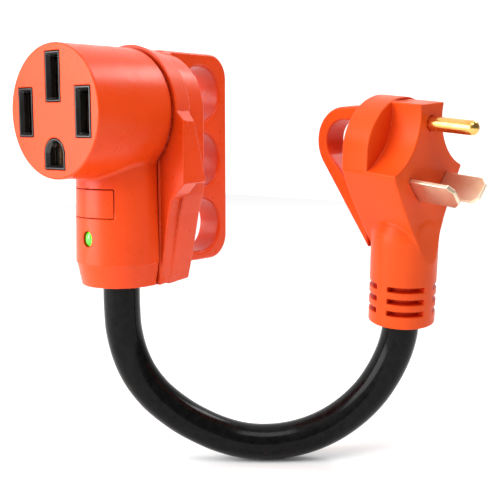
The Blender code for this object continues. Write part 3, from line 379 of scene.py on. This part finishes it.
def moulding(name, field, low, high, step, home, slot, *nodes):
    """A smooth closed piece from a field in millimetres, placed in its connector's frame."""
    blocks = [math.ceil((b - a) / (step * BLOCK)) for a, b in zip(low, high)]
    net, faces = surface_net(field_values(field, low, step, blocks))
    points = np.array(low) + step * net
    for _ in range(3):
        distance, slope = gradient(field, points)
        length = np.maximum((slope**2).sum(1), 0.2)
        shift = (distance / length)[:, None] * slope
        reach = np.linalg.norm(shift, axis=1, keepdims=True)
        points = points - shift * np.minimum(1, 0.7 * step / np.maximum(reach, 1e-9))
    _, slope = gradient(field, points)
    mesh = bpy.data.meshes.new(name)
    mesh.from_pydata((points * MM).tolist(), [], faces.tolist())
    mesh.validate()
    mesh.shade_smooth()
    length = np.maximum(np.linalg.norm(slope, axis=1, keepdims=True), 1e-6)
    mesh.normals_split_custom_set_from_vertices((slope / length).tolist())
    mesh.transform(home)
    return finish_piece(bpy.data.objects.new(name, mesh), slot, *nodes)


def finish_piece(obj, slot, *nodes):
    """Link a piece, give it its material, parent it to the body it rides on, and hide the CAD parts it
    replaces.
    """
    if not obj.users_collection:
        bpy.context.scene.collection.objects.link(obj)
    obj.data.materials.clear()
    obj.data.materials.append(MATERIALS[slot])
    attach(obj, BODY)
    if nodes:
        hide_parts(*nodes)
    return obj


# ---------------------------------------------------------------- socket connector

HEAD_Z = 77.0
HEAD_FRONT = -34.7
SHELL_REAR = 4.7
COVER_SCREWS = [(15.6, 92.6), (13.2, 36.0)]
CLAMP_SCREW = (12.4, 15.0)
BOSS_RADIUS, SCREW_HOLE_RADIUS = 3.4, 1.8
CABLE_HOLE_RADIUS = 8.3
SLOTS = {"neutral": (0.0, 90.8), "hot_x": (-17.7, 76.8), "hot_y": (17.7, 76.8)}
SLOT_WIDTH, SLOT_HEIGHT = 9.2, 20.0
GROUND_Z, GROUND_SIZE = 60.2, 12.6
INDICATOR_Z = 24.3
PANEL_Z, PANEL_HALF_HEIGHT = 39.2, 6.1
PANEL_HALF_ANGLE, PANEL_RADIUS = math.radians(40), 18.6
PANEL_DEPTH = 1.2


def neck_radius(z):
    return np.interp(z, [3.4, 13.2, 13.5, 50, 80], [16.9, 18.8, 19.2, 18.5, 18.4])


def neck_distance(x, y, z):
    """The neck's side: round in front, flat sides behind."""
    return np.hypot(x, np.minimum(y, 0)) - neck_radius(z)


def ground_outline(x, z, shrink=0.0):
    """The ground slot's arch, with its flat foot."""
    half = GROUND_SIZE / 2 - shrink
    arch = np.hypot(x, np.maximum(z - GROUND_Z, 0)) - half
    return common(arch, (GROUND_Z - half) - z, 0.2)


def panel_area(x, y, z, shrink=0.0):
    """The panel's rounded rectangle, wrapped round the neck's front."""
    along = np.arctan2(x, -y) * PANEL_RADIUS
    half_width = PANEL_RADIUS * PANEL_HALF_ANGLE - shrink
    return rectangle(along, z - PANEL_Z, half_width, PANEL_HALF_HEIGHT - shrink, 0.5)


def front_housing(x, y, z):
    """The head and neck, hollow and open behind."""
    round_head = np.hypot(x, z - HEAD_Z)
    head = common(round_head - (27.1 + 0.3 * (y - HEAD_FRONT) / 39.4), slab(y, HEAD_FRONT, SHELL_REAR), 0.7)
    side = neck_distance(x, y, z)
    neck = common(side, np.maximum(slab(z, 3.4, HEAD_Z), y - SHELL_REAR), 0.6)
    shape = merge(head, neck, 1.3)
    bore = common(round_head - 24.4, -30.7 - y, 0.5)
    hollow = common(side + 3, slab(z, 6.4, HEAD_Z), 0.8)
    shape = carve(shape, merge(bore, hollow), 0.3)
    mirrored = np.abs(x)
    for (sx, sz), y0 in zip(COVER_SCREWS, (-8.5, -10.5)):
        boss = rod_y(mirrored, y, z, sx, sz, BOSS_RADIUS, y0, 4.3, 0.3)
        boss = carve(boss, rod_y(mirrored, y, z, sx, sz, SCREW_HOLE_RADIUS, -3, 9))
        shape = merge(shape, common(boss, merge(side, round_head - 27) + 1))
    sx, sz = CLAMP_SCREW
    boss = rod_y(mirrored, y, z, sx, sz, BOSS_RADIUS, -9.4, -0.5, 0.3)
    boss = carve(boss, rod_y(mirrored, y, z, sx, sz, SCREW_HOLE_RADIUS, -8, 4))
    shape = merge(shape, common(boss, side + 1))
    for sx, sz in SLOTS.values():
        hole = rectangle(x - sx, z - sz, SLOT_WIDTH / 2, SLOT_HEIGHT / 2, 0.3)
        shape = carve(shape, common(hole, y + 29), 0.3)
    shape = carve(shape, common(ground_outline(x, z), y + 29), 0.3)
    recess = common(common(panel_area(x, y, z), -(side + PANEL_DEPTH)), y)
    shape = carve(shape, recess, 0.15)
    eye = (np.hypot(x / 2.65, (z - INDICATOR_Z) / 3.35) - 1) * 2.65
    shape = carve(shape, common(eye, y + 10), 0.35)
    return carve(shape, common(np.hypot(x, y) - CABLE_HOLE_RADIUS, z - 30), 0.4)


def neck_panel(x, y, z):
    """The blank panel, flush with the neck."""
    side = neck_distance(x, y, z)
    plate = common(side + 0.03, -(side + PANEL_DEPTH - 0.2), 0.2)
    return common(common(panel_area(x, y, z, 0.16), plate, 0.3), y)


# Half outlines of the cover, as (x, z): the layer with the lugs, the layer behind it and the hollow
LUG = [
    (-5, 3.3), (18.1, 3.3), (23.6, 33.4), (25.6, 40.6), (32.4, 47.3),
    (33.0, 73.6), (28.4, 77.8), (20, 92), (-5, 92),
]
REAR_LAYER = [
    (-5, 3.3), (16.9, 3.3), (20.4, 17.2), (23.7, 33.4),
    (26.3, 41.7), (26.95, 47.6), (26.95, 77), (-5, 92),
]
POCKET = [(-5, 6.5), (13.2, 6.5), (15.4, 17), (15.6, 70), (-5, 70)]


def rear_cover(x, y, z):
    """The flange's two layers, the lugs and the grip handle, with the pocket behind the shell."""
    wide = np.abs(x)
    crown = np.hypot(x, z - HEAD_Z)
    depth = y - 5.8
    lug_rear = np.interp(z, [40.6, 47.2, 47.5, 73.6, 78], [15.8, 15.8, 21.8, 13.2, 15.8])
    front = merge(crown - (28.9 - 0.16 * depth), polygon(wide, z, LUG) + 0.1 * depth)
    front = common(front, np.maximum(-depth, y - lug_rear), 0.55)
    behind = y - 15.8
    rear = merge(crown - (27.0 - 0.08 * behind), polygon(wide, z, REAR_LAYER) + 0.08 * behind)
    rear = common(rear, slab(y, 12, 25.7), 0.6)
    shape = merge(front, rear, 0.25)
    lip = merge(crown - 26.2, common(wide - 18.6, slab(z, 4.6, 60)))
    shape = merge(shape, common(lip, slab(y, 5.0, 8)))
    grip = rectangle(y - 36.6, z - 56.6, 26.6, 47.6, 11)
    grip = common(grip, wide - 6.5, 1.3)
    for centre in (25.5, 55.8, 86.1):
        grip = carve(grip, np.hypot(y - 45.2, z - centre) - 12.6, 1.1)
    shape = merge(shape, common(grip, 16 - y), 1.2)
    pocket = merge(crown - 23.2, polygon(wide, z, POCKET))
    shape = carve(shape, common(pocket, y - 22.7, 0.6), 0.3)
    for sx, sz in COVER_SCREWS:
        shape = merge(shape, rod_y(wide, y, z, sx, sz, 4.0, 5.3, 25.0))
        shape = carve(shape, rod_y(wide, y, z, sx, sz, SCREW_HOLE_RADIUS, 0, 40), 0.1)
        shape = carve(shape, rod_y(wide, y, z, sx, sz, 2.7, 22.5, 40), 0.3)
    return carve(shape, common(np.hypot(x, y) - CABLE_HOLE_RADIUS, z - 12), 0.4)


def loop_frame_piece(name, loops, home, slot, *nodes):
    """A ring-like closed piece: each loop is a list of points, and the last joins the first."""
    shape = bmesh.new()
    rings = [[shape.verts.new(Vector(p) * MM) for p in loop] for loop in loops]
    count = len(rings[0])
    for low, high in zip(rings, rings[1:] + rings[:1]):
        for i in range(count):
            j = (i + 1) % count
            shape.faces.new((low[i], low[j], high[j], high[i]))
    bmesh.ops.recalc_face_normals(shape, faces=shape.faces)
    mesh = bpy.data.meshes.new(name)
    shape.to_mesh(mesh)
    shape.free()
    mesh.transform(home)
    mesh.shade_smooth()
    mesh.set_sharp_from_angle(angle=math.radians(28))
    return finish_piece(bpy.data.objects.new(name, mesh), slot, *nodes)


def rectangle_loop(cx, cz, half_x, half_z, corner, count=5):
    """Points round a rectangle with rounded corners, as (x, z)."""
    points = []
    for sx, sz, start in ((1, -1, -90), (1, 1, 0), (-1, 1, 90), (-1, -1, 180)):
        for i in range(count):
            angle = math.radians(start + 90 * i / (count - 1))
            x = cx + sx * (half_x - corner) + corner * math.cos(angle)
            z = cz + sz * (half_z - corner) + corner * math.sin(angle)
            points.append((x, z))
    return points


def arch_loop(shrink, count=21):
    """Points round the ground slot, drawn in by shrink, as (x, z)."""
    half = GROUND_SIZE / 2 - shrink
    angles = [math.pi * i / (count - 1) for i in range(count)]
    points = [(half * math.cos(angle), GROUND_Z + half * math.sin(angle)) for angle in angles]
    return [(half, GROUND_Z - half)] + points + [(-half, GROUND_Z - half)]


# A slot lining's section: how far it is drawn in from the slot, and where it lies along Y
LINING = [
    (0.2, -30.9),
    (0.2, HEAD_FRONT + 0.12),
    (0.3, HEAD_FRONT - 0.02),
    (0.75, HEAD_FRONT - 0.02),
    (0.9, HEAD_FRONT + 0.15),
    (1.75, HEAD_FRONT + 1.5),
    (1.75, -30.9),
]


def slot_linings():
    """The black mouths of the contact carrier, which line the four slots and funnel the blades in."""
    for name, (cx, cz) in SLOTS.items():
        loops = []
        for shrink, y in LINING:
            ring = rectangle_loop(cx, cz, SLOT_WIDTH / 2 - shrink, SLOT_HEIGHT / 2 - shrink, 0.3)
            loops.append([(x, y, z) for x, z in ring])
        loop_frame_piece(f"{name}_slot_lining", loops, SOCKET, "insulator")
    loops = [[(x, y, z) for x, z in arch_loop(shrink)] for shrink, y in LINING]
    loop_frame_piece("ground_slot_lining", loops, SOCKET, "insulator")


def indicator_lens():
    """The oval green lens, domed and set back in its opening."""
    mesh = bpy.data.meshes.new("indicator_dome")
    shape = bmesh.new()
    bmesh.ops.create_uvsphere(shape, u_segments=40, v_segments=24, radius=1)
    for vert in shape.verts:
        x, z, out = vert.co.x * 2.5, vert.co.y * 3.2, vert.co.z
        depth = 1.7 * out if out > 0 else 1.6 * out
        vert.co = Vector((x, -16.9 - depth, INDICATOR_Z + z)) * MM
    bmesh.ops.recalc_face_normals(shape, faces=shape.faces)
    shape.to_mesh(mesh)
    shape.free()
    mesh.transform(SOCKET)
    mesh.shade_smooth()
    finish_piece(bpy.data.objects.new("indicator_dome", mesh), "indicator_green", "indicator_lens")


# ---------------------------------------------------------------- plug

WEDGE_SLOPE = 19.5 / 38.5
WEDGE_COSINE = 1 / math.hypot(1, WEDGE_SLOPE)
PLUG_SCREW_X, PLUG_SCREW_Z = 13.4, 84
COLLAR_RADIUS = 14.4
ARCH_Z, ARCH_RADIUS = 74.5, 22.3
SCALLOP_X, SCALLOP_Z, SCALLOP_RADIUS = 31.3, 90.0, 24.0
PIN_Z = 87.1
BLADE_X, BLADE_Z = 8.8, 60.6
BLADE_LEAN = math.radians(39)
GROOVE_ROWS = (17.2, 11.9, 6.6)
# The front face leans out towards the collar, and the collar fades into the wedge
FACET_Z, FACET_Y = (20, 28, 34, 40, 46, 52, 58), (-14.6, -14.1, -13.1, -12.15, -11.45, -11.1, -11)
COLLAR_Z = (0, 34, 38, 41, 44, 47, 50)
COLLAR_RADII = (COLLAR_RADIUS, COLLAR_RADIUS, 14.25, 13.7, 12.5, 10.7, 8.5)


def wedge_side(wide, z):
    """Distance to the wedge's slanted side."""
    return (wide - 2.8 - WEDGE_SLOPE * (z - 28.5)) * WEDGE_COSINE


def arch_and_wedge(wide, z, inset=0.0):
    """The plug's outline from the front: a wedge that widens to the shoulders, under an arch."""
    arch = np.where(z > ARCH_Z, np.hypot(wide, z - ARCH_Z), wide) - ARCH_RADIUS
    return common(wedge_side(wide, z) + inset, arch + inset, 0.4)


def front_and_back(y, z):
    """The plug body's flat front and back, which bend towards the collar low down."""
    front = np.interp(z, FACET_Z, FACET_Y)
    back = np.interp(z, [20, 26.5, 52, 54], [14.4, 14.4, 17.4, 17.5])
    return np.maximum(front - y, y - back)


def blade_axes(x, z, side):
    """How far a point lies along one leaning blade's width, and across it."""
    dx, dz = x - side * BLADE_X, z - BLADE_Z
    along = dx * side * math.sin(BLADE_LEAN) + dz * math.cos(BLADE_LEAN)
    across = dx * side * math.cos(BLADE_LEAN) - dz * math.sin(BLADE_LEAN)
    return along, across


def plug_housing(x, y, z):
    """The plug's body: block with hollowed flanks, strap, wedge and grooved collar."""
    wide = np.abs(x)
    outline = arch_and_wedge(wide, z)
    body = common(common(outline, 27.5 - z), front_and_back(y, z), 0.6)
    radial = np.hypot(x, y)
    flank = common(np.hypot(wide - SCALLOP_X, z - SCALLOP_Z) - SCALLOP_RADIUS, y - 3.8, 0.2)
    body = carve(body, flank, 0.55)
    body = carve(body, common(95.3 - z, y - 3.8), 0.55)
    cone = np.interp(z, COLLAR_Z, COLLAR_RADII)
    collar = common(radial - cone, slab(z, -5, 52), 0.8)
    in_front = np.interp(z, FACET_Z, FACET_Y) - y
    collar = carve(collar, common(common(wedge_side(wide, z), -in_front), 27.5 - z), 0.25)
    shape = merge(body, collar, 0.9)
    shape = common(shape, -z, 0.6)
    quarter = np.abs(np.abs(np.mod(np.degrees(np.arctan2(y, x)), 90) - 45))
    for row in GROOVE_ROWS:
        around = np.radians(quarter) * COLLAR_RADIUS
        groove = rectangle(z - row, around, 1.15, math.radians(34) * COLLAR_RADIUS, 0.5)
        shape = carve(shape, common(groove, 10.2 - radial), 0.35)
    rear_pocket = common(common(arch_and_wedge(wide, z, 3.0), 36 - z), 6.8 - y)
    tab_pocket = common(wide - 4.3, slab(z, 60, 92.2))
    low_pocket = common(arch_and_wedge(wide, z, 3.4), slab(z, 44, 65))
    front_pocket = common(merge(tab_pocket, low_pocket), slab(y, -7, 7.8))
    shape = carve(shape, merge(rear_pocket, front_pocket), 0.2)
    shape = carve(shape, common(radial - CABLE_HOLE_RADIUS, z - 28), 0.4)
    shape = carve(shape, common(radial - 8.9, slab(z, 26, 46)))
    for side in (-1, 1):
        screw_x = side * PLUG_SCREW_X
        shape = merge(shape, rod_y(x, y, z, screw_x, PLUG_SCREW_Z, BOSS_RADIUS, 5.5, 14.3))
        shape = carve(shape, rod_y(x, y, z, screw_x, PLUG_SCREW_Z, SCREW_HOLE_RADIUS, 6.2, 40))
        blade_hole = rectangle(*blade_axes(x, z, side), 6.03, 1.0, 0.2)
        shape = carve(shape, common(blade_hole, y), 0.08)
    shape = carve(shape, common(np.hypot(x, z - PIN_Z) - 3.08, y), 0.12)
    return shape


RING_Y, RING_Z, RING_RADIUS = 31.6, 75.0, 15.8
RING_WALL = 5.7


def arc_points(cy, cz, radius, start, end, count):
    """Points on an arc from start to end degrees, as (y, z)."""
    angles = np.radians(np.linspace(start, end, count))
    return [(cy + radius * math.cos(a), cz + radius * math.sin(a)) for a in angles]


def plug_cover(x, y, z):
    """The plug's rear plate, with the finger ring standing on it."""
    wide = np.abs(x)
    plate = common(arch_and_wedge(wide, z, 3.3), 44 - z)
    plate = common(plate, np.maximum(14.7 - y, front_and_back(y, z)), 0.3)
    outline = [(15.4, 30.3)] + arc_points(RING_Y, RING_Z, RING_RADIUS, -39, 86, 40)
    outline += [(17.8, 92.6), (17.8, 91.4), (15.7, 91.4), (15.7, 44.6), (17.8, 44.6), (16.9, 43.6)]
    hole = [(22, 52.4)] + arc_points(RING_Y, RING_Z, RING_RADIUS - RING_WALL, -39, 96, 40)
    hole += [(24.5, 86), (22, 84.6), (20.8, 82), (20.8, 54)]
    ring = common(polygon(y, z, outline), wide - 6, 1.3)
    ring = carve(ring, polygon(y, z, hole), 1.0)
    shape = merge(plate, ring)
    for side in (-1, 1):
        hole = rod_y(x, y, z, side * PLUG_SCREW_X, PLUG_SCREW_Z, SCREW_HOLE_RADIUS, 8, 40)
        shape = carve(shape, hole, 0.2)
    return shape


def blade(name, side):
    """A stamped blade, with a chamfered tip and eased edges."""
    tip, root, width, thick, chamfer = -31.6, -1.0, 11.8, 1.8, 2.6

    def field(x, y, z):
        along, across = blade_axes(x, z, side)
        half = width / 2
        outline = [(root, -half), (root, half), (tip + chamfer, half), (tip, half - chamfer),
                   (tip, chamfer - half), (tip + chamfer, -half)]
        return common(polygon(y, along, outline), np.abs(across) - thick / 2, 0.35)

    low = (side * BLADE_X - 7, tip - 1.5, BLADE_Z - 7)
    high = (side * BLADE_X + 7, root + 1.5, BLADE_Z + 7)
    return moulding(name + "_stamped", field, low, high, 0.3, PLUG, "contact_nickel", name)


def ground_pin():
    """The round ground pin, turned with a rounded tip and a fine root shoulder."""
    length = 32.2
    thick, tip = 3.0, 2.6
    profile = [(2.96, 0.0), (thick, 0.05)]
    profile += [(thick, length * i / 12) for i in range(1, 11)]
    tip_angles = np.radians(np.linspace(0, 88, 12))
    profile += [(thick * math.cos(a), length - tip + tip * math.sin(a)) for a in tip_angles]
    count = 48
    shape = bmesh.new()
    rings = []
    for radius, along in profile:
        angles = [2 * math.pi * i / count for i in range(count)]
        points = [(radius * math.cos(a), -1 - along, PIN_Z + radius * math.sin(a)) for a in angles]
        rings.append([shape.verts.new(Vector(p) * MM) for p in points])
    for low, high in zip(rings, rings[1:]):
        for i in range(count):
            j = (i + 1) % count
            shape.faces.new((low[i], low[j], high[j], high[i]))
    shape.faces.new(rings[0])
    shape.faces.new(rings[-1])
    bmesh.ops.recalc_face_normals(shape, faces=shape.faces)
    mesh = bpy.data.meshes.new("ground_pin_turned")
    shape.to_mesh(mesh)
    shape.free()
    mesh.transform(PLUG)
    mesh.shade_smooth()
    mesh.set_sharp_from_angle(angle=math.radians(40))
    finish_piece(bpy.data.objects.new("ground_pin_turned", mesh), "pin_brass", "ground_pin")


# ---------------------------------------------------------------- cable


def smooth_line(points, parts):
    """Points on the smooth curve that passes through the given ones, parts to each stretch."""
    ends = [2 * points[0] - points[1]] + points + [2 * points[-1] - points[-2]]
    line = []
    for a, b, c, d in zip(ends, ends[1:], ends[2:], ends[3:]):
        for i in range(parts):
            t = i / parts
            bend = (2 * a - 5 * b + 4 * c - d) * t**2 + (3 * b - a - 3 * c + d) * t**3
            line.append(0.5 * (2 * b + (c - a) * t + bend))
    return line + [points[-1]]


def cable():
    """The cable, from inside the socket's neck to inside the plug's collar."""
    points = [SOCKET @ Vector((0, 0, CABLE_END_IN_SOCKET * MM * share)) for share in (1, 0.67, 0.33, 0)]
    points += [LOOP @ (Vector(p) * MM) for p in CABLE_ROUTE]
    points += [PLUG @ Vector((0, 0, CABLE_END_IN_PLUG * MM * share)) for share in (0, 0.33, 0.67, 1)]
    line = smooth_line(points, 5)
    data = bpy.data.curves.new("cable", "CURVE")
    data.dimensions = "3D"
    data.bevel_depth = CABLE_RADIUS
    data.bevel_resolution = 12
    data.use_fill_caps = True
    spline = data.splines.new("POLY")
    spline.points.add(len(line) - 1)
    for point, place in zip(spline.points, line):
        point.co = (*place, 1)
    spline.use_smooth = True
    piece = finish_piece(bpy.data.objects.new("cable", data), "cable_jacket", "cable_jacket")
    length = sum((b - a).length for a, b in zip(line, line[1:]))


# ---------------------------------------------------------------- stage


def area_light(name, place, target, size, power, colour=(1, 1, 1)):
    data = bpy.data.lights.new(name, "AREA")
    data.shape = "RECTANGLE"
    data.size, data.size_y = size
    data.energy = power
    data.color = colour
    light = bpy.data.objects.new(name, data)
    light.location = place
    light.rotation_euler = (Vector(target) - Vector(place)).to_track_quat("-Z", "Y").to_euler()
    bpy.context.scene.collection.objects.link(light)


def studio_world():
    """Soft light all round: white behind and to the left, dimmer towards the right and the front."""
    world = bpy.data.worlds.new("studio")
    world.use_nodes = True
    nodes, links = world.node_tree.nodes, world.node_tree.links
    background = nodes["Background"]
    background.inputs["Color"].default_value = (1, 1, 1, 1)
    towards = nodes.new("ShaderNodeVectorMath")
    towards.operation = "DOT_PRODUCT"
    towards.inputs[1].default_value = LOOP.to_3x3() @ Vector((0.72, -0.68, -0.1))
    links.new(nodes.new("ShaderNodeTexCoord").outputs["Generated"], towards.inputs[0])
    dim = nodes.new("ShaderNodeMapRange")
    dim.inputs["From Min"].default_value = -0.35
    dim.inputs["From Max"].default_value = 0.55
    dim.inputs["To Min"].default_value = 1.3
    dim.inputs["To Max"].default_value = 0.2
    links.new(towards.outputs["Value"], dim.inputs["Value"])
    links.new(dim.outputs["Result"], background.inputs["Strength"])
    bpy.context.scene.world = world


def stage():
    """A pale floor, a white surround and soft boxes to the left, above and behind on the right."""
    bpy.ops.mesh.primitive_plane_add(size=2.4, location=(0, 0, CAD_BOX[0][2]))
    floor = bpy.context.object
    floor.name = "floor"
    paper = Shader("floor_paper", (0.96, 0.96, 0.96), 0.9)
    paper.bumps((paper.noise(300, 2), 0.05, 0.0002))
    floor.data.materials.append(paper.material)
    studio_world()
    middle = LOOP @ Vector((-0.07, 0.02, -0.02))
    area_light("left_box", LOOP @ Vector((-1.05, -0.35, 0.22)), middle, (0.7, 0.8), 11)
    area_light("top_box", LOOP @ Vector((-0.05, -0.45, 0.85)), middle, (0.6, 0.5), 5)
    area_light("rear_box", LOOP @ Vector((0.6, 0.5, 0.8)), middle, (0.5, 0.25), 4)
    bpy.context.scene.view_settings.view_transform = "Standard"


def camera():
    data = bpy.data.cameras.new("camera")
    data.sensor_width = 36
    data.lens = 64.8
    obj = bpy.data.objects.new("camera", data)
    obj.location = LOOP @ (Vector((-73.99, -371.5, 11.63)) * MM)
    obj.rotation_euler = (math.radians(82.2), 0, LOOP_TURN)
    bpy.context.scene.collection.objects.link(obj)
    bpy.context.scene.camera = obj


camera()
stage()
cable()

moulding("socket_shell_front", front_housing, (-29, -36, 2), (29, 6.5, 106), 0.6, SOCKET,
         "socket_shell", "socket_front_housing")
moulding("socket_grip_cover", rear_cover, (-35, 3.5, 1.5), (35, 65, 107.5), 0.64, SOCKET,
         "socket_shell", "socket_rear_cover")
moulding("neck_blank_panel", neck_panel, (-14, -20.5, 31), (14, -11, 47.5), 0.3, SOCKET,
         "socket_shell", "neck_panel")
slot_linings()
indicator_lens()

moulding("plug_body", plug_housing, (-24, -16.5, -1.5), (24, 19.5, 98.5), 0.56, PLUG,
         "plug_shell", "plug_housing")
moulding("plug_ring_cover", plug_cover, (-21, 13, 28.5), (21, 49, 95.5), 0.54, PLUG,
         "plug_shell", "plug_rear_cover")
blade("hot_blade", 1)
blade("neutral_blade", -1)
ground_pin()

slot_of = {entry["node"]: entry["material_slot"] for entry in frame["record"]["subparts"]}
for node, obj in frame["nodes"].items():
    for material_slot in obj.material_slots:
        material_slot.material = MATERIALS[slot_of[node]]
